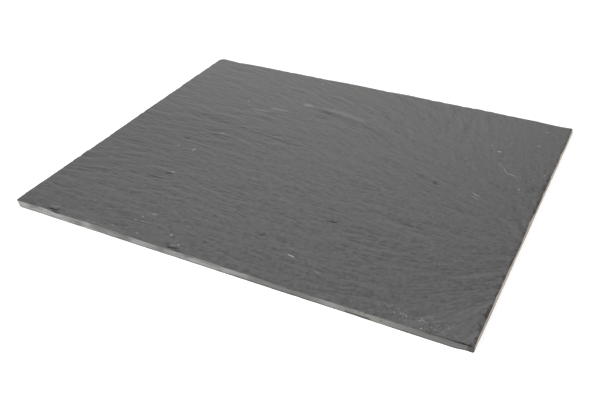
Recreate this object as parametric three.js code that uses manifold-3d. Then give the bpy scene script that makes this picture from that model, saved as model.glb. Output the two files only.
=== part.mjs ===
// A slate slab: one riven sheet of stone with hand-dressed edges.
// Millimetres, +Z up. The origin is the middle of the underside, X runs along the front edge
// from left to right, and Y runs from the front edge to the back edge.

import * as THREE from 'three';
import { mergeVertices } from 'three/addons/utils/BufferGeometryUtils.js';
import Module from 'manifold-3d';

// Overall size
const slabLength = 325;
const slabDepth = 268;
const slabThickness = 4.2;
const thicknessTaper = 0.3; // thicker by this at the left end and thinner by it at the right

// Mesh of the sheet before it is shaped
const cellsLong = 70;
const cellsDeep = 52;
const edgeRows = 3;
const cutAllowance = 1.4; // extra stone below the underside, sawn off flat at the end

// Riven top face: slow swells and many short overlapping packets of ripples along the grain,
// besides the ledges and pits below
const swellHeight = 0.22;
const swellSpan = 95;
const packetsPerCell = 3;
const ripple = {
  height: 0.12,
  width: 15, // from crest to crest
  run: 24, // half the length of a packet, and the size of a cell
  spread: 14, // half the width of a packet
  bow: 0.12, // how far the ends of its crests hang back, as a share of the run
  scatter: 16, // degrees it may be turned from the grain
  seed: 40,
};

// The grain is a fan that closes on a place just past the right edge. It opens out between two
// distances from the left, from one share of its full angle to another.
const grainFocus = [350, 95];
const behindFocus = { opens: [125, 210], shares: [0.5, 1] };
const inFrontOfFocus = { opens: [220, 315], shares: [0, 0.7] };
const grainTilt = { degrees: -6, middle: 150, reach: 130 };
const grainWaver = { degrees: 9, span: 24 };

// Dressed edges: the facet leans in towards the top and is undercut at the bottom
const facetLean = { left: 0.25, right: 0.45, front: 0.75, back: 0.75 };
const facetScallop = 0.3;
const leastLean = 0.1;
const scallopSpan = 24;
const undercut = 0.1;
const widestHeight = 0.9;
const edgeWander = 0.15;
const edgeReach = 13; // how far in from an edge its shape pulls the top face
const edgeSeeds = { left: 11, right: 23, front: 37, back: 51 }; // a different run of noise for each

// Places below are measured from the front left corner, x to the right and y to the back.

// Ledges, where one layer of the slate ends in a low step. The step faces its right-hand side
// going from start to end, and the layer thins out behind it over its reach. The bow is how far
// the middle of the ledge stands back from the straight line between its ends.
const ledgeOverrun = 0.1; // the step runs on past each end by this share of its length
const ledgeFade = 0.25; // and dies away over this share
const ledges = [
  { start: [30, 163], end: [141, 153], bow: 3, height: 0.3, reach: 22 },
  { start: [128, 210], end: [198, 189], bow: 6, height: 0.3, reach: 20 },
  { start: [196, 163], end: [266, 139], bow: 2, height: 0.22, reach: 16 },
  { start: [146, 134], end: [224, 116], bow: 3, height: 0.18, reach: 16 },
  { start: [4, 22], end: [96, 15], bow: 7, height: 0.25, reach: 16 },
  { start: [196, 48], end: [244, 49], bow: -2, height: 0.15, reach: 12 },
  { start: [212, 74], end: [322, 90], bow: -5, height: 0.2, reach: 16 },
  { start: [22, 104], end: [110, 98], bow: 2, height: 0.14, reach: 14 },
];

// Pits and flakes lifted out of the top face
const pits = [
  { at: [56.5, 125.6], size: [8, 5], depth: 0.35 },
  { at: [71, 70], size: [12, 6], depth: 0.35 },
  { at: [209, 72.5], size: [11, 5], depth: 0.45 },
  { at: [255, 145], size: [10, 6], depth: 0.35 },
  { at: [172, 38.5], size: [9, 5], depth: 0.3 },
  { at: [31.5, 4.5], size: [11, 6], depth: 0.9 },
  { at: [128.5, 4], size: [10, 6], depth: 0.7 },
  { at: [317, 164], size: [10, 15], depth: 0.45 },
];

// Bites out of the top rim: the side, the place along it, and the width and depth in plan.
// Where the depth is negative the rim stands out instead.
const chips = [
  { side: 'front', at: 45, width: 70, depth: 0.3 },
  { side: 'front', at: 36, width: 16, depth: -0.9 },
  { side: 'front', at: 134, width: 16, depth: -0.4 },
  { side: 'front', at: 232, width: 110, depth: -0.7 },
  { side: 'front', at: 205, width: 24, depth: -0.2 },
  { side: 'front', at: 285, width: 24, depth: -0.4 },
  { side: 'front', at: 318, width: 60, depth: -0.5 },
  { side: 'right', at: 46, width: 12, depth: 0.2 },
  { side: 'right', at: 126, width: 30, depth: 0.25 },
  { side: 'right', at: 164, width: 14, depth: 0.25 },
  { side: 'right', at: 222, width: 12, depth: 0.25 },
  { side: 'back', at: 20, width: 36, depth: 1.2 },
  { side: 'back', at: 138, width: 20, depth: -0.8 },
  { side: 'back', at: 186, width: 18, depth: -0.8 },
  { side: 'back', at: 210, width: 18, depth: 0.6 },
  { side: 'back', at: 252, width: 40, depth: -0.6 },
  { side: 'back', at: 314, width: 44, depth: 1 },
  { side: 'left', at: 80, width: 16, depth: 0.4 },
  { side: 'left', at: 196, width: 18, depth: 0.4 },
];

// How far each corner is worn or broken back
const corners = { frontLeft: 0.8, frontRight: 1, backRight: 1.2, backLeft: 6 };

const slateMaterial = new THREE.MeshStandardMaterial({
  color: 0x6b6b6b,
  roughness: 0.65,
  metalness: 0,
});

function mix(a, b, amount) {
  return a + (b - a) * amount;
}

function clamp(value, low, high) {
  return Math.min(high, Math.max(low, value));
}

function ease(value) {
  const t = clamp(value, 0, 1);
  return t * t * (3 - 2 * t);
}

// A bump one high at the middle and gone at a distance of one
function hump(distance) {
  return 1 - ease(Math.abs(distance));
}

// A repeatable random number from 0 to 1 for each point of a square lattice
function latticeValue(column, row, layer) {
  const wave = Math.sin(column * 127.1 + row * 311.7 + layer * 74.7) * 43758.5453;
  return wave - Math.floor(wave);
}

// Smooth noise from -1 to 1, one lattice cell long in each direction
function noise(x, y, layer) {
  const column = Math.floor(x);
  const row = Math.floor(y);
  const across = ease(x - column);
  const up = ease(y - row);
  const near = mix(latticeValue(column, row, layer), latticeValue(column + 1, row, layer), across);
  const far = mix(
    latticeValue(column, row + 1, layer),
    latticeValue(column + 1, row + 1, layer),
    across,
  );
  return 2 * mix(near, far, up) - 1;
}

function toRadians(degrees) {
  return (degrees * Math.PI) / 180;
}

// Direction of the grain at a place measured from the middle, in radians from the front edge
function grainAngle(x, y) {
  const fromLeft = Math.min(x + slabLength / 2, slabLength);
  const rise = grainFocus[1] - (y + slabDepth / 2);
  const { opens, shares } = rise > 0 ? inFrontOfFocus : behindFocus;
  const share = mix(shares[0], shares[1], ease((fromLeft - opens[0]) / (opens[1] - opens[0])));
  const fan = Math.atan((share * rise) / (grainFocus[0] - fromLeft));
  const tilt = grainTilt.degrees * hump((fromLeft - grainTilt.middle) / grainTilt.reach);
  const waver = grainWaver.degrees * noise(x / grainWaver.span, y / grainWaver.span, 5);
  return fan + toRadians(tilt + waver);
}

// Where one packet of ripples lies, how it is turned and where in the wave it starts
function ripplePacket(cellX, cellY, seed) {
  const x = ripple.run * (cellX + latticeValue(cellX, cellY, seed));
  const y = ripple.run * (cellY + latticeValue(cellX, cellY, seed + 0.3));
  const start = latticeValue(cellX, cellY, seed + 0.6);
  const scatter = ripple.scatter * (2 * latticeValue(cellX, cellY, seed + 0.8) - 1);
  return { x, y, start, turn: grainAngle(x, y) + toRadians(scatter) };
}

function packetWave(packet, x, y) {
  const offX = x - packet.x;
  const offY = y - packet.y;
  const along = (offX * Math.cos(packet.turn) + offY * Math.sin(packet.turn)) / ripple.run;
  const across = offY * Math.cos(packet.turn) - offX * Math.sin(packet.turn);
  const strength = hump(Math.hypot(along, across / ripple.spread));
  const bowed = across + ripple.bow * ripple.run * along ** 2;
  return strength * Math.cos(2 * Math.PI * (bowed / ripple.width + packet.start));
}

function rippleWave(x, y) {
  const column = Math.floor(x / ripple.run);
  const row = Math.floor(y / ripple.run);
  let wave = 0;
  for (let cellX = column - 1; cellX <= column + 1; cellX++) {
    for (let cellY = row - 1; cellY <= row + 1; cellY++) {
      for (let index = 0; index < packetsPerCell; index++) {
        wave += packetWave(ripplePacket(cellX, cellY, ripple.seed + 3 * index), x, y);
      }
    }
  }
  return wave;
}

// The step of one ledge: full height at its lip, fading away behind it and past its ends
function ledgeHeight(ledge, x, y) {
  const alongX = ledge.end[0] - ledge.start[0];
  const alongY = ledge.end[1] - ledge.start[1];
  const length = Math.hypot(alongX, alongY);
  const fromX = x - ledge.start[0];
  const fromY = y - ledge.start[1];
  const along = (fromX * alongX + fromY * alongY) / length;
  const place = along / length;
  const bow = ledge.bow * 4 * place * (1 - place);
  const behind = (fromY * alongX - fromX * alongY) / length - bow;
  if (behind < 0 || behind > ledge.reach) return 0;
  const startFade = ease((place + ledgeOverrun) / ledgeFade);
  const endFade = ease((1 + ledgeOverrun - place) / ledgeFade);
  return ledge.height * startFade * endFade * (1 - ease(behind / ledge.reach));
}

function pitDepth(pit, x, y) {
  const halfLong = pit.size[0] / 2;
  const halfWide = pit.size[1] / 2;
  return pit.depth * hump(Math.hypot((x - pit.at[0]) / halfLong, (y - pit.at[1]) / halfWide));
}

// Height of the riven face above the mean top, at a place measured from the middle
function topRelief(x, y) {
  const fromLeft = x + slabLength / 2;
  const fromFront = y + slabDepth / 2;
  let height = swellHeight * noise(x / swellSpan, y / swellSpan, 1);
  height += ripple.height * rippleWave(x, y);
  height -= (thicknessTaper * x) / (slabLength / 2);
  for (const ledge of ledges) height += ledgeHeight(ledge, fromLeft, fromFront);
  for (const pit of pits) height -= pitDepth(pit, fromLeft, fromFront);
  return height;
}

// How far a side lies inside its nominal line, at a place along it and a height
function sideInset(side, along, z) {
  const seed = edgeSeeds[side];
  const wander = edgeWander * (0.5 + 0.5 * noise(along / scallopSpan, seed, 3));
  const lean = facetLean[side] + facetScallop * noise(along / scallopSpan, seed, 4);
  const above = ease((z - widestHeight) / (slabThickness - widestHeight));
  const below = clamp((widestHeight - z) / widestHeight, 0, 1);
  let inset = wander + Math.max(leastLean, lean) * above + undercut * below;
  for (const chip of chips) {
    if (chip.side !== side) continue;
    inset += chip.depth * above * hump((along - chip.at) / (chip.width / 2));
  }
  return Math.max(0, inset);
}

// How strongly an edge's shape is felt at a distance in from it
function edgePull(distance) {
  return (1 - clamp(distance / edgeReach, 0, 1)) ** 2;
}

// Draws the square corner of the plan in to a rounded one
function roundCorner(point, signX, signY, radius) {
  const inX = radius - (slabLength / 2 - signX * point.x);
  const inY = radius - (slabDepth / 2 - signY * point.y);
  if (inX <= 0 || inY <= 0) return;
  const shrink = Math.max(inX, inY) / Math.hypot(inX, inY);
  point.x = signX * (slabLength / 2 - radius + inX * shrink);
  point.y = signY * (slabDepth / 2 - radius + inY * shrink);
}

// Moves one point of the plain sheet to its place in the finished stone
function shapePoint(point) {
  const { x, y, z } = point;
  const fromLeft = x + slabLength / 2;
  const fromFront = y + slabDepth / 2;
  roundCorner(point, -1, -1, corners.frontLeft);
  roundCorner(point, 1, -1, corners.frontRight);
  roundCorner(point, 1, 1, corners.backRight);
  roundCorner(point, -1, 1, corners.backLeft);
  point.x += sideInset('left', fromFront, z) * edgePull(fromLeft);
  point.x -= sideInset('right', fromFront, z) * edgePull(slabLength - fromLeft);
  point.y += sideInset('front', fromLeft, z) * edgePull(fromFront);
  point.y -= sideInset('back', fromLeft, z) * edgePull(slabDepth - fromFront);
  point.z += (topRelief(x, y) * clamp(z, 0, slabThickness)) / slabThickness;
}

// The same geometry with only its positions, and each shared corner held once
function weld(geometry) {
  geometry.deleteAttribute('normal');
  geometry.deleteAttribute('uv');
  return mergeVertices(geometry);
}

function toSolid(wasm, geometry) {
  return new wasm.Manifold(
    new wasm.Mesh({
      numProp: 3,
      vertProperties: geometry.attributes.position.array,
      triVerts: new Uint32Array(geometry.index.array),
    }),
  );
}

function toGeometry(solid) {
  const mesh = solid.getMesh();
  const geometry = new THREE.BufferGeometry();
  geometry.setAttribute('position', new THREE.BufferAttribute(mesh.vertProperties, 3));
  geometry.setIndex(new THREE.BufferAttribute(mesh.triVerts, 1));
  geometry.computeVertexNormals();
  return geometry;
}

// The riven and dressed sheet, still with its extra stone below the underside
function shapedSheet() {
  const height = slabThickness + cutAllowance;
  const cells = [cellsLong, cellsDeep, edgeRows];
  const box = new THREE.BoxGeometry(slabLength, slabDepth, height, ...cells);
  const sheet = weld(box.translate(0, 0, slabThickness - height / 2));
  const positions = sheet.attributes.position;
  const point = new THREE.Vector3();
  for (let i = 0; i < positions.count; i++) {
    shapePoint(point.fromBufferAttribute(positions, i));
    positions.setXYZ(i, point.x, point.y, point.z);
  }
  return sheet;
}

// Everything below the underside, which is flat so that the slab lies steady
function stoneBelow() {
  const margin = 10;
  const height = cutAllowance + margin;
  const box = new THREE.BoxGeometry(slabLength + margin, slabDepth + margin, height);
  return weld(box.translate(0, 0, -height / 2));
}

async function makeSlab() {
  const wasm = await Module();
  wasm.setup();
  const solid = toSolid(wasm, shapedSheet()).subtract(toSolid(wasm, stoneBelow()));
  const slab = new THREE.Mesh(toGeometry(solid), slateMaterial);
  slab.name = 'slate_slab';
  return slab;
}

const slate = new THREE.Group();
slate.add(await makeSlab());

export default slate;
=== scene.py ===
import itertools
import math

import bmesh
import bpy
import numpy as np
from mathutils import Matrix, Vector


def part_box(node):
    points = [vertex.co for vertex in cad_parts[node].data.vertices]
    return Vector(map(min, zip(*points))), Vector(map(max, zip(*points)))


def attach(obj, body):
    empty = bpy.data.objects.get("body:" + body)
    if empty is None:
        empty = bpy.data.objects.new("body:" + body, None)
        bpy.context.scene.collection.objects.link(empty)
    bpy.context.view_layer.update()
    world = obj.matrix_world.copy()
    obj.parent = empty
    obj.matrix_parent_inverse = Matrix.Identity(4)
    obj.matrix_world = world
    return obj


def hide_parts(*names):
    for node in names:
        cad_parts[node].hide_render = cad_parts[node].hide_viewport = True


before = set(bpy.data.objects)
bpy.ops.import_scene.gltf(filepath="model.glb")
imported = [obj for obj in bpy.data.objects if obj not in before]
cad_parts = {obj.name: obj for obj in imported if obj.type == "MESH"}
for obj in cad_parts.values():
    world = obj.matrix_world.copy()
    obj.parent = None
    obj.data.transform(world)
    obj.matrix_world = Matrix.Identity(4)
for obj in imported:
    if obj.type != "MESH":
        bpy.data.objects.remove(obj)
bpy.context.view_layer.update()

# A riven slate slab. Stone sizes are in millimetres and become metres when the mesh is made.
mm = 0.001
nodeName = "slate_slab"
lowCorner, highCorner = (Vector(corner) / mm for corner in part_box(nodeName))
slabLength = highCorner.x - lowCorner.x
slabDepth = highCorner.y - lowCorner.y

sheet = {
    "thickness": 4.2,
    "taper": 0.3,  # taller by this at the left end and lower by it at the right
    "cellsLong": 90,
    "cellsDeep": 92,
    "fineCuts": 2,  # extra cuts in each cell of the top face and the rim
    "sideCuts": 6,
    "creaseAngle": 38,
}

# Riven face: slow swells, then ripples that follow the grain as many short overlapping packets.
# "tone" is how much a layer of ripples shows in the colour of the stone.
riven = {
    "swellHeight": 0.22,
    "swellSpan": 95,
    "layers": [
        {"height": 0.12, "tone": 0.6, "width": 15.0, "run": 24, "spread": 14, "seed": 40},
        {"height": 0.09, "tone": 1.0, "width": 7.0, "run": 14, "spread": 7, "seed": 50},
        {"height": 0.055, "tone": 1.35, "width": 4.6, "run": 11, "spread": 4.4, "seed": 60},
        {"height": 0.03, "tone": 1.4, "width": 3.2, "run": 8, "spread": 3.2, "seed": 70},
    ],
    "packetsPerCell": 3,
    "bow": 0.12,  # how far the ends of a packet's crests hang back
    "scatter": 16,  # degrees a packet may be turned from the grain
    "widthRange": 0.3,  # a packet's width is this much up or down
    "skew": 0.5,  # the back of each ripple is steeper than its front
    "calm": [  # places where the ripples are fainter, or stronger where the share is negative
        {"at": (324, 234), "reach": 92, "share": 0.9},
        {"at": (20, 235), "reach": 100, "share": 0.3},
        {"at": (205, 225), "reach": 85, "share": -0.75},
        {"at": (14, 88), "reach": 60, "share": 0.35},
    ],
    "patchSpan": 26,  # ripples come and go over this far
    "patchShare": 0.4,
    "frontShare": 0.85,  # ripples are this strong at the front edge
    "frontReach": 90,
}

# The grain is a fan that closes on a place just past the right edge
grain = {
    "focus": (350, 95),  # from the front left corner
    "behindShare": (0.5, 1.0),  # behind the focus the fan opens between these places
    "behindOpens": (125, 210),
    "frontShare": (0.0, 0.7),
    "frontOpens": (220, 315),
    "tilt": -6.0,  # degrees, down to the right in the middle
    "tiltMiddle": 150,
    "tiltReach": 130,
    "waver": 9.0,
    "waverSpan": 24,
}

# Ledges, measured from the front left corner: each faces its right-hand side from start to end
ledges = [
    {"start": (30, 163), "end": (141, 153), "bow": 3, "height": 0.3, "reach": 22},
    {"start": (128, 210), "end": (198, 189), "bow": 6, "height": 0.3, "reach": 20},
    {"start": (196, 163), "end": (266, 139), "bow": 2, "height": 0.22, "reach": 16},
    {"start": (146, 134), "end": (224, 116), "bow": 3, "height": 0.18, "reach": 16},
    {"start": (4, 22), "end": (96, 15), "bow": 7, "height": 0.25, "reach": 16},
    {"start": (196, 48), "end": (244, 49), "bow": -2, "height": 0.15, "reach": 12},
    {"start": (212, 74), "end": (322, 90), "bow": -5, "height": 0.2, "reach": 16},
    {"start": (22, 104), "end": (110, 98), "bow": 2, "height": 0.14, "reach": 14},
]
ledgeShape = {
    "overrun": 0.1,  # shares of a ledge's length
    "fade": 0.25,
    "lip": 1.2,
    "broad": 0.9,  # how far its line strays, over broad and fine spans
    "broadSpan": 11,
    "fine": 0.4,
    "fineSpan": 4,
}

# Pits and lifted flakes, from the front left corner
pits = [
    {"at": (56.5, 125.6), "size": (8, 5), "depth": 0.35},
    {"at": (71, 70), "size": (12, 6), "depth": 0.35},
    {"at": (209, 72.5), "size": (11, 5), "depth": 0.45},
    {"at": (255, 145), "size": (10, 6), "depth": 0.35},
    {"at": (172, 38.5), "size": (9, 5), "depth": 0.3},
    {"at": (31.5, 4.5), "size": (11, 6), "depth": 0.9},
    {"at": (128.5, 4), "size": (10, 6), "depth": 0.7},
    {"at": (317, 164), "size": (10, 15), "depth": 0.45},
]

# Dressed edges: the facet leans in towards the top and is undercut at the bottom
edge = {
    "lean": {"left": 0.25, "right": 0.45, "front": 0.75, "back": 0.75},
    "leastLean": 0.1,
    "scallop": 0.3,
    "scallopSpan": 24,
    "undercut": 0.1,
    "widestHeight": 0.9,
    "wander": 0.15,
    "reach": 13,  # how far in from an edge its shape pulls the face
    "nibble": 0.22,
    "nibbleSpan": 4.2,
    "nibbleReach": 3,
    "fineNibble": 0.4,
    "fineNibbleRate": 2.3,
    "topBand": 0.45,  # nibbles reach this share of the thickness down from the top rim
    "footBand": 0.3,  # and this share up from the foot, where they are weaker
    "footShare": 0.6,
    "rimBand": 0.12,  # the broken face begins this share in from each rim
    "faceInset": 0.16,
    "roughness": 0.09,
    "roughSpan": 2.1,
    "roughFlatness": 1.6,
    "layerDepth": 0.08,
    "layerHeight": 0.55,
    "layerRun": 9,
}
edgeSeeds = {"left": 11, "right": 23, "front": 37, "back": 51}

# Bites out of the rims; "low" ones are at the underside, and a negative depth stands out
chips = [
    {"side": "front", "at": 45, "width": 70, "depth": 0.3},
    {"side": "front", "at": 36, "width": 16, "depth": -0.9},
    {"side": "front", "at": 134, "width": 16, "depth": -0.4},
    {"side": "front", "at": 232, "width": 110, "depth": -0.7},
    {"side": "front", "at": 205, "width": 24, "depth": -0.2},
    {"side": "front", "at": 285, "width": 24, "depth": -0.4},
    {"side": "front", "at": 318, "width": 60, "depth": -0.5},
    {"side": "right", "at": 46, "width": 12, "depth": 0.2},
    {"side": "right", "at": 126, "width": 30, "depth": 0.25},
    {"side": "right", "at": 164, "width": 14, "depth": 0.25},
    {"side": "right", "at": 222, "width": 12, "depth": 0.25},
    {"side": "back", "at": 20, "width": 36, "depth": 1.2},
    {"side": "back", "at": 138, "width": 20, "depth": -0.8},
    {"side": "back", "at": 186, "width": 18, "depth": -0.8},
    {"side": "back", "at": 210, "width": 18, "depth": 0.6},
    {"side": "back", "at": 252, "width": 40, "depth": -0.6},
    {"side": "back", "at": 314, "width": 44, "depth": 1.0},
    {"side": "left", "at": 80, "width": 16, "depth": 0.4},
    {"side": "left", "at": 196, "width": 18, "depth": 0.4},
]
lowChips = [
    {"side": "left", "at": 0, "width": 12, "depth": 1.4},
    {"side": "front", "at": 0, "width": 10, "depth": 0.8},
    {"side": "front", "at": 322, "width": 18, "depth": 0.9},
]
corners = {(-1, -1): 0.8, (1, -1): 1.0, (1, 1): 1.2, (-1, 1): 6.0}

underside = {
    "hollow": 0.32,
    "hollowSpan": 60,
    "lift": 0.12,
    "rimReach": 12,  # the underside is down on the floor at its rim and rises within this
    "ripples": {"height": 0.06, "width": 8.0, "run": 16, "spread": 10, "seed": 80},
}


def mix(a, b, amount):
    return a + (b - a) * amount


def ease(value):
    t = np.clip(value, 0, 1)
    return t * t * (3 - 2 * t)


def hump(distance):
    return 1 - ease(np.abs(distance))


# A steady random value from 0 to 1 for each cell. The layer tells one noise from another.
def latticeValue(column, row, layer):
    wave = np.sin(column * 127.1 + row * 311.7 + layer * 74.7) * 43758.5453
    return wave - np.floor(wave)


# Smooth noise from -1 to 1, with one cell to each unit of x and y
def noise(x, y, layer):
    column = np.floor(x)
    row = np.floor(y)
    across = ease(x - column)
    up = ease(y - row)
    near = mix(latticeValue(column, row, layer), latticeValue(column + 1, row, layer), across)
    far = mix(latticeValue(column, row + 1, layer), latticeValue(column + 1, row + 1, layer), across)
    return 2 * mix(near, far, up) - 1


def openShare(x, shares, opens):
    return mix(shares[0], shares[1], ease((x - opens[0]) / (opens[1] - opens[0])))


# Direction of the grain, in radians from the front edge
def grainAngle(x, y):
    fromLeft = np.minimum(x + slabLength / 2, slabLength)
    focusX, focusY = grain["focus"]
    rise = focusY - (y + slabDepth / 2)
    inFront = openShare(fromLeft, grain["frontShare"], grain["frontOpens"])
    behind = openShare(fromLeft, grain["behindShare"], grain["behindOpens"])
    share = np.where(rise > 0, inFront, behind)
    fan = np.arctan(share * rise / (focusX - fromLeft))
    tilt = grain["tilt"] * hump((fromLeft - grain["tiltMiddle"]) / grain["tiltReach"])
    span = grain["waverSpan"]
    return fan + np.radians(tilt + grain["waver"] * noise(x / span, y / span, 5))


# One layer of ripples, about -1 to 1: the sum of its wave packets
def rippleWave(x, y, layer):
    run = layer["run"]
    column = np.floor(x / run)
    row = np.floor(y / run)
    cosine = np.zeros_like(x)
    sine = np.zeros_like(x)
    reach = range(-1, 2)
    for stepX, stepY, packet in itertools.product(reach, reach, range(riven["packetsPerCell"])):
        seed = layer["seed"] + 3 * packet
        cellX = column + stepX
        cellY = row + stepY
        centreX = run * (cellX + latticeValue(cellX, cellY, seed))
        centreY = run * (cellY + latticeValue(cellX, cellY, seed + 0.3))
        scatter = riven["scatter"] * (2 * latticeValue(cellX, cellY, seed + 0.8) - 1)
        turn = grainAngle(centreX, centreY) + np.radians(scatter)
        offX = x - centreX
        offY = y - centreY
        along = (offX * np.cos(turn) + offY * np.sin(turn)) / run
        across = offY * np.cos(turn) - offX * np.sin(turn)
        strength = hump(np.hypot(along, across / layer["spread"]))
        bowed = across + riven["bow"] * run * along**2
        change = 1 + riven["widthRange"] * (2 * latticeValue(cellX, cellY, seed + 0.7) - 1)
        start = latticeValue(cellX, cellY, seed + 0.6)
        phase = 2 * math.pi * (bowed / (layer["width"] * change) + start)
        cosine += strength * np.cos(phase)
        sine += strength * np.sin(phase)
    phase = np.arctan2(sine, cosine)
    return np.hypot(cosine, sine) * np.cos(phase - riven["skew"] * np.cos(phase))


def ledgeHeight(ledge, x, y):
    startX, startY = ledge["start"]
    runX = ledge["end"][0] - startX
    runY = ledge["end"][1] - startY
    length = math.hypot(runX, runY)
    place = ((x - startX) * runX + (y - startY) * runY) / length**2
    bow = ledge["bow"] * 4 * place * (1 - place)
    behind = ((y - startY) * runX - (x - startX) * runY) / length - bow
    broadSpan, fineSpan = ledgeShape["broadSpan"], ledgeShape["fineSpan"]
    behind = behind + ledgeShape["broad"] * noise(x / broadSpan, y / broadSpan, 8)
    behind = behind + ledgeShape["fine"] * noise(x / fineSpan, y / fineSpan, 9)
    overrun, fade = ledgeShape["overrun"], ledgeShape["fade"]
    fades = ease((place + overrun) / fade) * ease((1 + overrun - place) / fade)
    lip = ease(behind / ledgeShape["lip"])
    return ledge["height"] * fades * lip * (1 - ease(behind / ledge["reach"]))


def pitDepth(pit, x, y):
    halfLong = pit["size"][0] / 2
    halfWide = pit["size"][1] / 2
    return pit["depth"] * hump(np.hypot((x - pit["at"][0]) / halfLong, (y - pit["at"][1]) / halfWide))


# Height of the riven face above the mean top, the tone its ripples give the stone, and how
# lively they are
def topRelief(x, y):
    fromLeft = x + slabLength / 2
    fromFront = y + slabDepth / 2
    height = riven["swellHeight"] * noise(x / riven["swellSpan"], y / riven["swellSpan"], 1)
    tone = np.zeros_like(x)
    liveliness = mix(riven["frontShare"], 1, ease(fromFront / riven["frontReach"]))
    for calm in riven["calm"]:
        away = np.hypot(fromLeft - calm["at"][0], fromFront - calm["at"][1]) / calm["reach"]
        liveliness = liveliness * (1 - calm["share"] * hump(away))
    patches = noise(x / riven["patchSpan"], y / riven["patchSpan"], 6)
    liveliness = liveliness * (1 + riven["patchShare"] * patches)
    for layer in riven["layers"]:
        wave = liveliness * rippleWave(x, y, layer)
        height += layer["height"] * wave
        tone += layer["tone"] * wave
    height -= sheet["taper"] * x / (slabLength / 2)
    for ledge in ledges:
        height += ledgeHeight(ledge, fromLeft, fromFront)
    for pit in pits:
        height -= pitDepth(pit, fromLeft, fromFront)
    return height, tone, liveliness


def undersideRise(x, y):
    hollows = underside["hollow"] * noise(x / underside["hollowSpan"], y / underside["hollowSpan"], 31)
    layer = underside["ripples"]
    ripples = layer["height"] * rippleWave(-x, y, layer)
    fromRim = np.minimum(slabLength / 2 - np.abs(x), slabDepth / 2 - np.abs(y))
    return np.maximum(0, hollows + ripples + underside["lift"]) * ease(fromRim / underside["rimReach"])


def chipDepth(chipList, side, along):
    depth = 0
    for chip in chipList:
        if chip["side"] == side:
            depth = depth + chip["depth"] * hump((along - chip["at"]) / (chip["width"] / 2))
    return depth


# How far a side stands inside its nominal line: the broad shape first, then the fine nibbles
def sideInset(side, along, z):
    seed = edgeSeeds[side]
    wander = edge["wander"] * (0.5 + 0.5 * noise(along / edge["scallopSpan"], seed, 3))
    lean = edge["lean"][side] + edge["scallop"] * noise(along / edge["scallopSpan"], seed, 4)
    above = ease((z - edge["widestHeight"]) / (sheet["thickness"] - edge["widestHeight"]))
    below = np.clip((edge["widestHeight"] - z) / edge["widestHeight"], 0, 1)
    inset = wander + np.maximum(edge["leastLean"], lean) * above + edge["undercut"] * below
    inset = inset + chipDepth(chips, side, along) * above
    inset = inset + chipDepth(lowChips, side, along) * (1 - above)
    return np.maximum(0, inset)


def sideNibble(side, along, z, share):
    seed = edgeSeeds[side]
    span = edge["nibbleSpan"]
    fineBites = edge["fineNibble"] * noise(along / span * edge["fineNibbleRate"], seed, 15)
    bites = np.maximum(0, noise(along / span, seed, 14) + fineBites)
    topBand, footBand, rimBand = edge["topBand"], edge["footBand"], edge["rimBand"]
    nearTop = ease((share - 1 + topBand) / topBand)
    nearFoot = edge["footShare"] * ease((footBand - share) / footBand)
    inset = edge["nibble"] * bites * (nearTop + nearFoot)
    onFace = ease(share / rimBand) * ease((1 - share) / rimBand)
    roughSpan = edge["roughSpan"]
    roughHeight = z / roughSpan * edge["roughFlatness"] + seed
    rough = edge["roughness"] * noise(along / roughSpan, roughHeight, 16)
    layers = edge["layerDepth"] * noise(along / edge["layerRun"], z / edge["layerHeight"] + seed, 17)
    return inset + (edge["faceInset"] + rough + layers) * onFace


def edgePull(distance, reach):
    return (1 - np.clip(distance / reach, 0, 1)) ** 2


# Draws the square corners of the plan in to rounded ones
def roundedPlan(x, y):
    for (signX, signY), radius in corners.items():
        inX = radius - (slabLength / 2 - signX * x)
        inY = radius - (slabDepth / 2 - signY * y)
        inside = (inX > 0) & (inY > 0)
        shrink = np.where(inside, np.maximum(inX, inY) / np.maximum(np.hypot(inX, inY), 1e-9), 1)
        x = np.where(inside, signX * (slabLength / 2 - radius + inX * shrink), x)
        y = np.where(inside, signY * (slabDepth / 2 - radius + inY * shrink), y)
    return x, y


# Places of the plain sheet's vertices in the finished stone, with the tone and liveliness there
def shapeStone(rest):
    x, y, share = rest.T
    fromLeft = x + slabLength / 2
    fromFront = y + slabDepth / 2
    relief, tone, liveliness = topRelief(x, y)
    z = mix(undersideRise(x, y), sheet["thickness"] + relief, share)
    level = share * sheet["thickness"]
    planX, planY = roundedPlan(x, y)
    distances = {
        "left": (fromLeft, fromFront, 1, 0),
        "right": (slabLength - fromLeft, fromFront, -1, 0),
        "front": (fromFront, fromLeft, 0, 1),
        "back": (slabDepth - fromFront, fromLeft, 0, -1),
    }
    for side, (distance, run, stepX, stepY) in distances.items():
        inset = sideInset(side, run, level) * edgePull(distance, edge["reach"])
        inset = inset + sideNibble(side, run, level, share) * edgePull(distance, edge["nibbleReach"])
        planX = planX + stepX * inset
        planY = planY + stepY * inset
    return np.column_stack((planX, planY, z)), tone, liveliness


def runsAlong(bmEdge, axis):
    span = bmEdge.verts[1].co - bmEdge.verts[0].co
    return abs(span[axis]) > 0.999 * span.length


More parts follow.
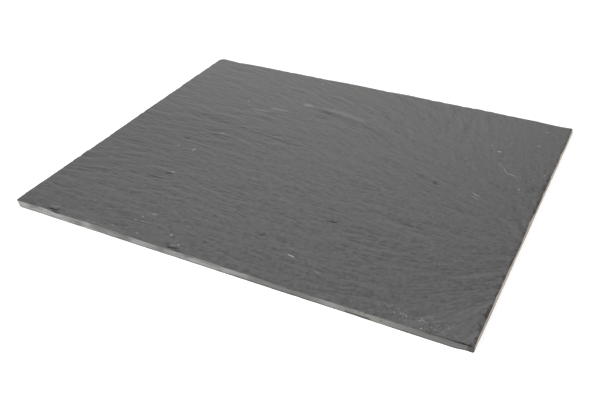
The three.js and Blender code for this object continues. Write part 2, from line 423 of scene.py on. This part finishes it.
# A unit cube cut to a fine top face and sides, and a coarser underside
def plainSheet():
    bm = bmesh.new()
    bmesh.ops.create_cube(bm, size=1.0)
    for axis, cells in ((0, sheet["cellsLong"]), (1, sheet["cellsDeep"])):
        lines = [e for e in bm.edges if runsAlong(e, axis)]
        bmesh.ops.subdivide_edges(bm, edges=lines, cuts=cells - 1, use_grid_fill=True)
    fine = []
    for line in bm.edges:
        first, second = line.verts
        onTop = first.co.z > 0 and second.co.z > 0
        onLowRim = first.co.z < 0 and second.co.z < 0 and line.calc_face_angle(0) > 1
        if onTop or onLowRim:
            fine.append(line)
    bmesh.ops.subdivide_edges(bm, edges=fine, cuts=sheet["fineCuts"], use_grid_fill=True)
    uprights = [e for e in bm.edges if runsAlong(e, 2)]
    bmesh.ops.subdivide_edges(bm, edges=uprights, cuts=sheet["sideCuts"], use_grid_fill=True)
    bmesh.ops.translate(bm, vec=(0, 0, 0.5), verts=bm.verts)
    bmesh.ops.scale(bm, vec=(slabLength, slabDepth, 1), verts=bm.verts)
    return bm


def storeAttribute(mesh, name, domain, values):
    layer = mesh.attributes.new(name, "FLOAT", domain)
    layer.data.foreach_set("value", np.ascontiguousarray(values, dtype=np.float32))


def makeSlab():
    bm = plainSheet()
    mesh = bpy.data.meshes.new("rivenSlab")
    bm.to_mesh(mesh)
    bm.free()
    print("plain sheet:", len(mesh.polygons), "faces")
    rest = np.empty(len(mesh.vertices) * 3)
    mesh.vertices.foreach_get("co", rest)
    rest = rest.reshape(-1, 3)
    restNormals = np.empty(len(mesh.polygons) * 3)
    mesh.polygons.foreach_get("normal", restNormals)
    isSide = np.abs(restNormals.reshape(-1, 3)[:, 2]) < 0.5
    shaped, tone, liveliness = shapeStone(rest)
    mesh.vertices.foreach_set("co", (shaped * mm).ravel())
    mesh.update()

    storeAttribute(mesh, "rippleTone", "POINT", tone)
    storeAttribute(mesh, "grainAngle", "POINT", grainAngle(rest[:, 0], rest[:, 1]))
    storeAttribute(mesh, "liveliness", "POINT", liveliness)
    loopTotals = np.empty(len(mesh.polygons), dtype=np.int32)
    mesh.polygons.foreach_get("loop_total", loopTotals)
    storeAttribute(mesh, "broken", "CORNER", np.repeat(isSide, loopTotals))
    mesh.shade_smooth()
    mesh.set_sharp_from_angle(angle=math.radians(sheet["creaseAngle"]))
    slab = bpy.data.objects.new("riven_slab", mesh)
    bpy.context.collection.objects.link(slab)
    print("riven slab shaped")
    return slab


spotFoot = 0.35  # how bright a spot's glow is where the spot begins


# A socket in a material. Arithmetic on it adds Math nodes.
class Wire:
    def __init__(self, finish, socket):
        self.finish = finish
        self.socket = socket

    def math(self, operation, first, second):
        return self.finish.make("ShaderNodeMath", {"operation": operation}, {0: first, 1: second})

    def __add__(self, other):
        return self.math("ADD", self, other)

    def __radd__(self, other):
        return self.math("ADD", other, self)

    def __sub__(self, other):
        return self.math("SUBTRACT", self, other)

    def __rsub__(self, other):
        return self.math("SUBTRACT", other, self)

    def __mul__(self, other):
        return self.math("MULTIPLY", self, other)

    def __rmul__(self, other):
        return self.math("MULTIPLY", other, self)


# One material under construction
class Finish:
    def __init__(self, name):
        self.material = bpy.data.materials.new(name)
        self.material.use_nodes = True
        self.tree = self.material.node_tree
        self.tree.nodes.clear()

    def make(self, kind, settings, sockets, output=0):
        node = self.tree.nodes.new(kind)
        for name, value in settings.items():
            setattr(node, name, value)
        for name, value in sockets.items():
            if isinstance(value, Wire):
                self.tree.links.new(value.socket, node.inputs[name])
            else:
                node.inputs[name].default_value = value
        return Wire(self, node.outputs[output]) if node.outputs else node

    def attribute(self, name):
        return self.make("ShaderNodeAttribute", {"attribute_name": name}, {}, 2)

    def stretch(self, vector, scale):
        settings = {"operation": "MULTIPLY"}
        return self.make("ShaderNodeVectorMath", settings, {0: vector, 1: scale})

    def speckle(self, vector, name):
        sockets = {"Vector": vector, **textures[name]}
        return self.make("ShaderNodeTexNoise", {"noise_dimensions": "3D"}, sockets)

    def softStep(self, value, low, high):
        settings = {"interpolation_type": "SMOOTHSTEP"}
        sockets = {"Value": value, "From Min": low, "From Max": high}
        return self.make("ShaderNodeMapRange", settings, sockets)

    def blend(self, amount, first, second):
        return self.make("ShaderNodeMix", {"data_type": "RGBA"}, {0: amount, 6: first, 7: second}, 2)

    def part(self, vector, axis):
        return self.make("ShaderNodeSeparateXYZ", {}, {0: vector}, axis)

    # One within an ellipse on the slab's face and nothing outside, with a soft ragged outline
    def spot(self, place, ellipse, ragged, core):
        middle, long, wide, turn = ellipse
        sockets = {
            "Vector": place,
            "Location": ((middle[0] - slabLength / 2) * mm, (middle[1] - slabDepth / 2) * mm, 0),
            "Rotation": (0, 0, math.radians(turn)),
            "Scale": (long * mm, wide * mm, 1),
        }
        near = self.make("ShaderNodeMapping", {"vector_type": "TEXTURE"}, sockets)
        ball = {"gradient_type": "SPHERICAL"}  # falls from 1 in the middle to 0 at twice the radius
        glow = self.make("ShaderNodeTexGradient", ball, {"Vector": near}, 1)
        return self.softStep(glow - ragged, spotFoot, 1 - core / 2)

    def marks(self, place, marks, ragged, core=0.9):
        total = 0
        for *ellipse, strength in marks:
            total = total + strength * self.spot(place, ellipse, ragged, core)
        return total


stone = {
    "faceDark": (0.0433, 0.043, 0.043, 1),
    "faceLight": (0.0967, 0.096, 0.0953, 1),
    "warm": (0.073, 0.067, 0.061, 1),
    "cool": (0.073, 0.068, 0.072, 1),
    # Painted shade and painted light for the broad dim and bright tints on the face
    "dim": (0.028, 0.028, 0.028, 1),
    "bright": (0.11, 0.11, 0.11, 1),
    "rim": (0.022, 0.017, 0.013, 1),
    "edgeDark": (0.068, 0.068, 0.065, 1),
    "edgeLight": (0.163, 0.163, 0.159, 1),
    "edgeOlive": (0.115, 0.113, 0.105, 1),
    # Painted highlight: creamy pale for the right edge face, standing in for the bright light on it
    "rightEdgeHighlight": (0.36, 0.32, 0.27, 1),
    "edgeDarkest": (0.03, 0.03, 0.03, 1),
    "pale": (0.3, 0.3, 0.3, 1),
    "dark": (0.005, 0.005, 0.005, 1),
    "faceRoughness": 0.46,
    "edgeRoughness": 0.85,
    "refraction": 1.5,
}

# Noises in the finish, in cells to the metre
hairTexture = {"Scale": 160.0, "Frequency": 2.0, "Anisotropy": 0.9}
textures = {
    "grit": {"Scale": 340.0, "Detail": 3.0, "Roughness": 0.68},
    "ragged": {"Scale": 600.0, "Detail": 2.0, "Roughness": 0.5},
    "specks": {"Scale": 900.0, "Detail": 1.0, "Roughness": 0.5},
    "notches": {"Scale": 240.0, "Detail": 3.0, "Roughness": 0.6},
    "mottle": {"Scale": 260.0, "Detail": 4.0, "Roughness": 0.65},
    "patches": {"Scale": 60.0, "Detail": 2.0, "Roughness": 0.5},
    "holes": {"Scale": 800.0, "Detail": 1.0, "Roughness": 0.5},
}

# How the riven face is put together. Steps are where something begins and is whole.
faceLook = {
    "rippleTone": 0.085,  # how much the ripples, the grit and the hairs show in the colour
    "gritTone": 2.5,
    "hairTone": 0.1,
    "raggedShare": 0.5,  # how far the outlines of marks stray, from this middle value
    "raggedMiddle": 0.4,
    "stainCore": -0.4,  # the lower, the softer the outline
    "dustCore": -0.2,
    "speckSteps": (0.6, 0.66),
    "rimSteps": (160.3, 161.3),  # millimetres right of the middle
    "rimWander": 12,
    "rimShare": 0.8,
    "upperSteps": (1.8, 2.6),  # millimetres up: the underside has none of the marks
    "toneRoughness": 0.14,
    "shadeAndNickRoughness": 0.5,
    "hairBump": 0.2,
    "gritBump": 0.3,
    "gritBumpStrength": 0.8,
    "mottleInBump": 0.3,
}

# How the broken edges are put together, in millimetres from the middle of the underside
edgeLook = {
    "layering": (0.35, 0.35, 3.0),
    "toneSteps": (0.36, 0.6),
    # Painted shade: the broken edges grow darker towards the right, as the key lamp's light falls off
    "paintedShadeSteps": (-60, 120),
    "paintedRightShade": 0.5,
    "oliveCore": 0.4,
    "oliveShare": 0.8,
    "holeSteps": (0.6, 0.66),
    "holeShare": 0.7,
    # Painted shade: a dark line along the foot of the edges, where the undercut is in shade
    "footShadeHeight": 0.3,  # of the dark line along the foot
    "footShadeWander": 0.8,
    "footShadeSoftness": 0.2,
    "footShare": 0.85,
    # Painted highlight: the right edge face is painted creamy pale for the bright light on it
    "highlightSteps": (159.8, 160.6),
    "highlightEnd": (-132, -131),
    "highlightLeast": 0.6,
    "cornerCore": 0.8,
    "cornerShare": 0.9,
}

# Marks on the riven face, from the front left corner: place, length and width in millimetres,
# degrees turned from the front edge, and strength. Pale ones are flakes, scratches and dust, and a
# few are painted highlights on the lips behind the front nick marks and along the ledges.
paleMarksAndHighlights = [
    ((30.6, 6.9), 9.0, 1.2, 12, 0.16),
    ((130, 6.2), 7.0, 1.2, 12, 0.16),
    ((201, 28.5), 5.4, 0.9, -9, 0.95),
    ((222.3, 21), 4.5, 1.2, -17, 0.22),
    ((92.3, 22.9), 1.6, 1.1, 0, 0.6),
    ((90.1, 17.9), 1.6, 1.1, 0, 0.5),
    ((95.7, 18.3), 1.4, 1.1, 0, 0.5),
    ((80.3, 6.8), 1.8, 1.4, 0, 0.35),
    ((121.3, 14.2), 2.1, 1.9, 0, 0.55),
    ((131.7, 7.5), 1.8, 1.6, 0, 0.4),
    ((99.9, 6.2), 1.6, 1.3, 0, 0.4),
    ((97.9, 28.8), 5.0, 1.6, 10, 0.35),
    ((282.2, 207.4), 2.9, 2.1, 0, 0.6),
    ((274.7, 214.2), 1.9, 1.9, 0, 0.25),
    ((306.8, 228.1), 2.7, 2.1, 0, 0.25),
    ((307.8, 252.4), 4.0, 3.0, 0, 0.2),
    ((308, 162.4), 1.8, 1.8, 0, 0.45),
    ((319.9, 188.2), 1.6, 1.6, 0, 0.35),
    ((287.8, 189), 11.0, 0.8, -43, 0.26),
    ((293.3, 182.4), 7.0, 0.9, -57, 0.3),
    ((298.3, 179), 7.0, 1.0, -11, 0.45),
    ((283.4, 143.3), 7.4, 1.1, -25, 0.45),
    ((283.5, 139.4), 5.2, 0.8, -24, 0.28),
    ((273.2, 138.4), 1.6, 1.1, 10, 0.35),
    ((275.9, 136.2), 1.4, 1.0, 0, 0.3),
    ((276.6, 138.6), 1.1, 0.9, 0, 0.3),
    ((272.9, 135.8), 1.1, 0.8, 0, 0.25),
    ((294.3, 2.4), 1.4, 1.1, 0, 0.6),
    ((111.6, 257.2), 2.7, 1.9, 0, 0.4),
    ((69.8, 199.8), 1.9, 1.9, 0, 0.45),
    ((87.7, 191), 17.0, 2.6, 2, 0.22),
    ((100.9, 197.6), 16.0, 3.0, 3, 0.24),
    ((118.7, 215.1), 9.0, 5.0, 5, 0.28),
    ((155.3, 211), 40.0, 5.0, -8, 0.15),
    ((79.3, 161.4), 32.0, 1.1, -5, 0.12),
    ((113.3, 156.6), 44.0, 1.2, -8, 0.16),
    ((58.8, 112.6), 2.1, 1.8, 0, 0.35),
    ((73.2, 112.3), 2.0, 5.0, 10, 0.4),
    ((78.7, 143.6), 5.0, 2.6, -10, 0.3),
    ((77.5, 78.6), 2.9, 1.8, 10, 0.5),
]
# Dark marks: painted shade in the pits, in the nick marks along the front rim and under the steps of
# the ledges, with a few other small dark marks
shadeAndNickMarks = [
    ((31.7, 4.2), 9.5, 1.8, 12, 0.85),
    ((34.7, 2.0), 5.4, 1.5, 0, 0.6),
    ((129.9, 3.4), 8.5, 1.7, 12, 0.85),
    ((134.1, 2.0), 4.0, 1.3, 10, 0.5),
    ((318.6, 1.3), 10.5, 1.2, 4, 0.7),
    ((307, 1.2), 26, 0.9, 1, 0.5),
    ((58, 125.1), 6.0, 1.3, 1, 0.75),
    ((70.2, 67.9), 13.5, 1.1, 4, 0.6),
    ((75.8, 75.4), 6.0, 1.3, 12, 0.65),
    ((208, 72.3), 8.0, 1.3, 8, 0.75),
    ((253.9, 145), 5.0, 1.2, -20, 0.45),
    ((174, 39.8), 4.4, 1.5, 10, 0.55),
    ((145, 16.9), 3.0, 1.5, 10, 0.4),
    ((90.1, 16.7), 30.0, 1.0, 3, 0.3),
    ((76.3, 159.6), 34, 1.0, -5, 0.2),
    ((112.3, 154.8), 46, 1.2, -8, 0.26),
    ((150.3, 206), 44, 1.2, -8, 0.2),
    ((183.3, 197), 28, 1.1, -27, 0.2),
]
# Marks on the front facet: darker stretches, where the painted shade line along its foot is thick,
# an olive stain, and the dark corner at its right end
facetShades = [
    ((86, 0), 26, 30, 0, 0.55),
    ((112, 0), 46, 30, 0, 0.3),
    ((210, 0), 40, 30, 0, 0.45),
    ((306, 0), 60, 30, 0, 0.35),
]
facetFootShade = [
    ((205, 0), 70, 30, 0, 0.7),
    ((258, 0), 16, 30, 0, 1.3),
    ((300, 0), 44, 30, 0, 0.5),
]
facetStain = ((266, 0), 40, 30, 0)
facetCorner = ((323.6, 0), 5.5, 30, 0)

# Patches of pale dust on the riven face
dust = [
    ((291, 8), 76, 22, 0, 0.6),
    ((66, 4), 32, 10, 0, 0.6),
]

# Faint broad tints in the slate, as above with a tint at the end. The dim one on the left is painted
# shade and the bright one at the front right is painted light, for how the light falls on the face
stainsAndPaintedLight = [
    ((15, 130), 280, 260, 0, 0.42, "dim"),
    ((322, 12), 110, 80, 0, 0.5, "bright"),
    ((150, 252), 150, 34, -2, 0.5, "warm"),
    ((40, 205), 60, 50, 0, 0.25, "warm"),
    ((300, 232), 60, 60, 0, 0.5, "cool"),
    ((265, 120), 90, 50, 0, 0.3, "cool"),
    ((60, 12), 60, 16, 0, 0.3, "cool"),
    ((321, 166), 18, 26, 0, 0.45, "rim"),
]


def inMetres(steps):
    return [step * mm for step in steps]


# The riven face: broad tints, flakes, scratches, dust and dark nick marks on the bare stone, with
# painted shade and painted light in some of the tints, painted shade in the pits and under the
# ledges, painted highlights on their lips, and a dark right rim
def faceColour(finish, place, bare, shadeAndNicks, ragged):
    colour = bare
    # Broad tints; the dim and bright ones are painted shade and painted light
    for *ellipse, strength, tint in stainsAndPaintedLight:
        cover = strength * finish.spot(place, ellipse, ragged, faceLook["stainCore"])
        colour = finish.blend(cover, colour, stone[tint])
    # Pale flakes, scratches and dust, with painted highlights on the lips of the nick marks and ledges
    colour = finish.blend(finish.marks(place, paleMarksAndHighlights, ragged), colour, stone["pale"])
    specks = finish.softStep(finish.speckle(place, "specks"), *faceLook["speckSteps"])
    cover = finish.marks(place, dust, ragged, faceLook["dustCore"])
    colour = finish.blend(cover * specks, colour, stone["pale"])
    # Painted shade in the pits, the nick marks and under the ledges
    colour = finish.blend(shadeAndNicks, colour, stone["dark"])
    wander = faceLook["rimWander"] * mm * (finish.speckle(place, "notches") - 0.5)
    rim = finish.softStep(finish.part(place, 0) + wander, *inMetres(faceLook["rimSteps"]))
    return finish.blend(faceLook["rimShare"] * rim, colour, stone["rim"])


# The broken edges: mottled layers, darker stretches, painted shade darkening the facet towards the
# right, an olive stain with small holes, a painted shade line along the foot, a painted highlight
# that makes the right edge face creamy pale, and a dark front right corner
def edgeColour(finish, place, mottle, ragged):
    patches = finish.speckle(place, "patches")
    tone = finish.softStep(0.5 * mottle + 0.5 * patches, *edgeLook["toneSteps"])
    colour = finish.blend(tone, stone["edgeDark"], stone["edgeLight"])
    alongX = finish.part(place, 0)
    # Painted shade: the facet grows darker towards the right, where the key lamp's light falls off
    rightwards = finish.softStep(alongX, *inMetres(edgeLook["paintedShadeSteps"]))
    shade = edgeLook["paintedRightShade"] * rightwards + finish.marks(place, facetShades, ragged)
    colour = finish.blend(shade, colour, stone["edgeDark"])

    olive = finish.spot(place, facetStain, ragged, edgeLook["oliveCore"])
    colour = finish.blend(edgeLook["oliveShare"] * olive, colour, stone["edgeOlive"])
    holes = finish.softStep(finish.speckle(place, "holes"), *edgeLook["holeSteps"])
    colour = finish.blend(edgeLook["holeShare"] * olive * holes, colour, stone["edgeDarkest"])

    # Painted shade: a dark line along the foot of the edge, standing in for the shade of the undercut
    foot = edgeLook["footShadeHeight"] + edgeLook["footShadeWander"] * (patches - 0.5)
    foot = (foot + finish.marks(place, facetFootShade, ragged)) * mm
    softness = edgeLook["footShadeSoftness"] * mm
    low = finish.softStep(finish.part(place, 2), foot + softness, foot - softness)
    colour = finish.blend(edgeLook["footShare"] * low, colour, stone["edgeDarkest"])

    # Painted highlight: the right edge face is painted creamy pale, standing in for the light on it
    onRight = finish.softStep(alongX, *inMetres(edgeLook["highlightSteps"]))
    onRight = onRight * finish.softStep(finish.part(place, 1), *inMetres(edgeLook["highlightEnd"]))
    rightHighlight = onRight * (edgeLook["highlightLeast"] + (1 - edgeLook["highlightLeast"]) * tone)
    colour = finish.blend(rightHighlight, colour, stone["rightEdgeHighlight"])
    corner = finish.spot(place, facetCorner, ragged, edgeLook["cornerCore"])
    return finish.blend(edgeLook["cornerShare"] * corner * (1 - onRight), colour, stone["edgeDarkest"])


def slateFinish():
    finish = Finish("rivenSlate")
    place = finish.make("ShaderNodeTexCoord", {}, {}, 3)
    broken = finish.attribute("broken")  # 1 on the edges and 0 on the split faces
    acrossGrain = finish.attribute("grainAngle") + math.pi / 2
    hairSockets = {"Vector": place, "Orientation": acrossGrain, **hairTexture}
    hairs = finish.make("ShaderNodeTexGabor", {"gabor_type": "2D"}, hairSockets) - 0.5
    hairs = hairs * finish.attribute("liveliness")
    grit = finish.speckle(place, "grit") - 0.5
    mottle = finish.speckle(finish.stretch(place, edgeLook["layering"]), "mottle")
    ragged = faceLook["raggedShare"] * (finish.speckle(place, "ragged") - faceLook["raggedMiddle"])
    # Dark marks, mostly painted shade in the pits and nick marks and under the ledges
    shadeAndNicks = finish.marks(place, shadeAndNickMarks, ragged)
    upper = finish.softStep(finish.part(place, 2), *inMetres(faceLook["upperSteps"]))

    tone = 0.5 + faceLook["rippleTone"] * finish.attribute("rippleTone")
    tone = tone + faceLook["gritTone"] * grit + faceLook["hairTone"] * hairs
    bare = finish.blend(tone, stone["faceDark"], stone["faceLight"])
    face = finish.blend(upper, bare, faceColour(finish, place, bare, shadeAndNicks, ragged))
    colour = finish.blend(broken, face, edgeColour(finish, place, mottle, ragged))

    roughness = stone["faceRoughness"] + faceLook["toneRoughness"] * (tone - 0.5)
    roughness = roughness + faceLook["shadeAndNickRoughness"] * shadeAndNicks * upper
    roughness = roughness + broken * (stone["edgeRoughness"] - stone["faceRoughness"])

    hairBump = {"Height": hairs, "Distance": faceLook["hairBump"] * mm, "Strength": 1.0}
    gritBump = {
        "Height": grit + faceLook["mottleInBump"] * mottle,
        "Distance": faceLook["gritBump"] * mm,
        "Strength": faceLook["gritBumpStrength"],
        "Normal": finish.make("ShaderNodeBump", {}, hairBump),
    }
    sockets = {
        "Base Color": colour,
        "Roughness": roughness,
        "Normal": finish.make("ShaderNodeBump", {}, gritBump),
        "IOR": stone["refraction"],
    }
    shader = finish.make("ShaderNodeBsdfPrincipled", {}, sockets)
    finish.make("ShaderNodeOutputMaterial", {}, {"Surface": shader})
    return finish.material


floorSockets = {
    "Base Color": (0.5, 0.5, 0.5, 1),
    "Roughness": 0.9,
    "Emission Color": (1, 1, 1, 1),
    "Emission Strength": 0.72,
}


def floorFinish():
    finish = Finish("paleFloor")
    shader = finish.make("ShaderNodeBsdfPrincipled", {}, floorSockets)
    finish.make("ShaderNodeOutputMaterial", {}, {"Surface": shader})
    return finish.material


view = {
    "place": (219.26, -431.16, 294.64),  # mm from the middle of the underside
    "turn": -28.061,  # degrees, to the left of straight back
    "tip": 33.813,  # degrees down
    "roll": -1.443,
    "focalPixels": 765.1,
    "imageWidth": 600,
    "sensorWidth": 36.0,
}


def makeCamera():
    turn, tip, roll = (math.radians(view[name]) for name in ("turn", "tip", "roll"))
    forward = Vector((
        math.sin(turn) * math.cos(tip),
        math.cos(turn) * math.cos(tip),
        -math.sin(tip),
    ))
    level = Vector((math.cos(turn), -math.sin(turn), 0))
    upright = level.cross(forward)
    right = math.cos(roll) * level + math.sin(roll) * upright
    up = math.cos(roll) * upright - math.sin(roll) * level
    camera = bpy.data.objects.new("camera", bpy.data.cameras.new("camera"))
    bpy.context.collection.objects.link(camera)
    camera.data.sensor_width = view["sensorWidth"]
    camera.data.lens = view["focalPixels"] * view["sensorWidth"] / view["imageWidth"]
    camera.data.clip_start = 0.01
    turned = Matrix((right, up, -forward)).transposed().to_4x4()
    camera.matrix_world = Matrix.Translation(Vector(view["place"]) * mm) @ turned
    bpy.context.scene.camera = camera


# Lamps by their bearing and height in degrees, seen from the slab. Only the sheen is mirrored in
# the stone.
studio = {
    "floorSize": 200.0,
    "world": 0.4,
    "mirrored": "sheen",
    "lights": [
        {"name": "key", "bearing": -110, "height": 22, "far": 4.5, "size": 1.4, "power": 340},
        {"name": "sheen", "bearing": 118, "height": 15, "far": 4.0, "size": 4.0, "power": 45},
        {"name": "fill", "bearing": -10, "height": 8, "far": 4.0, "size": 1.5, "power": 90},
    ],
}


def makeFloor():
    bm = bmesh.new()
    bmesh.ops.create_grid(bm, x_segments=1, y_segments=1, size=studio["floorSize"] / 2)
    mesh = bpy.data.meshes.new("floor")
    bm.to_mesh(mesh)
    bm.free()
    floor = bpy.data.objects.new("floor", mesh)
    bpy.context.collection.objects.link(floor)
    mesh.materials.append(floorFinish())


def makeLamp(light):
    lamp = bpy.data.lights.new(light["name"], "AREA")
    lamp.shape = "DISK"
    lamp.size = light["size"]
    lamp.energy = light["power"]
    holder = bpy.data.objects.new(light["name"], lamp)
    bearing, height = math.radians(light["bearing"]), math.radians(light["height"])
    level = math.cos(height)
    toLight = Vector((math.cos(bearing) * level, math.sin(bearing) * level, math.sin(height)))
    holder.location = toLight * light["far"]
    holder.rotation_euler = toLight.to_track_quat("Z", "Y").to_euler()
    holder.visible_glossy = light["name"] == studio["mirrored"]
    bpy.context.collection.objects.link(holder)


def makeStudio():
    makeFloor()
    for light in studio["lights"]:
        makeLamp(light)
    world = bpy.data.worlds.new("paleRoom")
    world.use_nodes = True
    background = world.node_tree.nodes["Background"]
    background.inputs["Color"].default_value = (1, 1, 1, 1)
    background.inputs["Strength"].default_value = studio["world"]
    bpy.context.scene.world = world
    bpy.context.scene.view_settings.view_transform = "Standard"
    print("studio ready")


makeCamera()
makeStudio()
slab = makeSlab()
slab.data.materials.append(slateFinish())
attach(slab, "root")
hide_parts(nodeName)
print("slate finish ready")
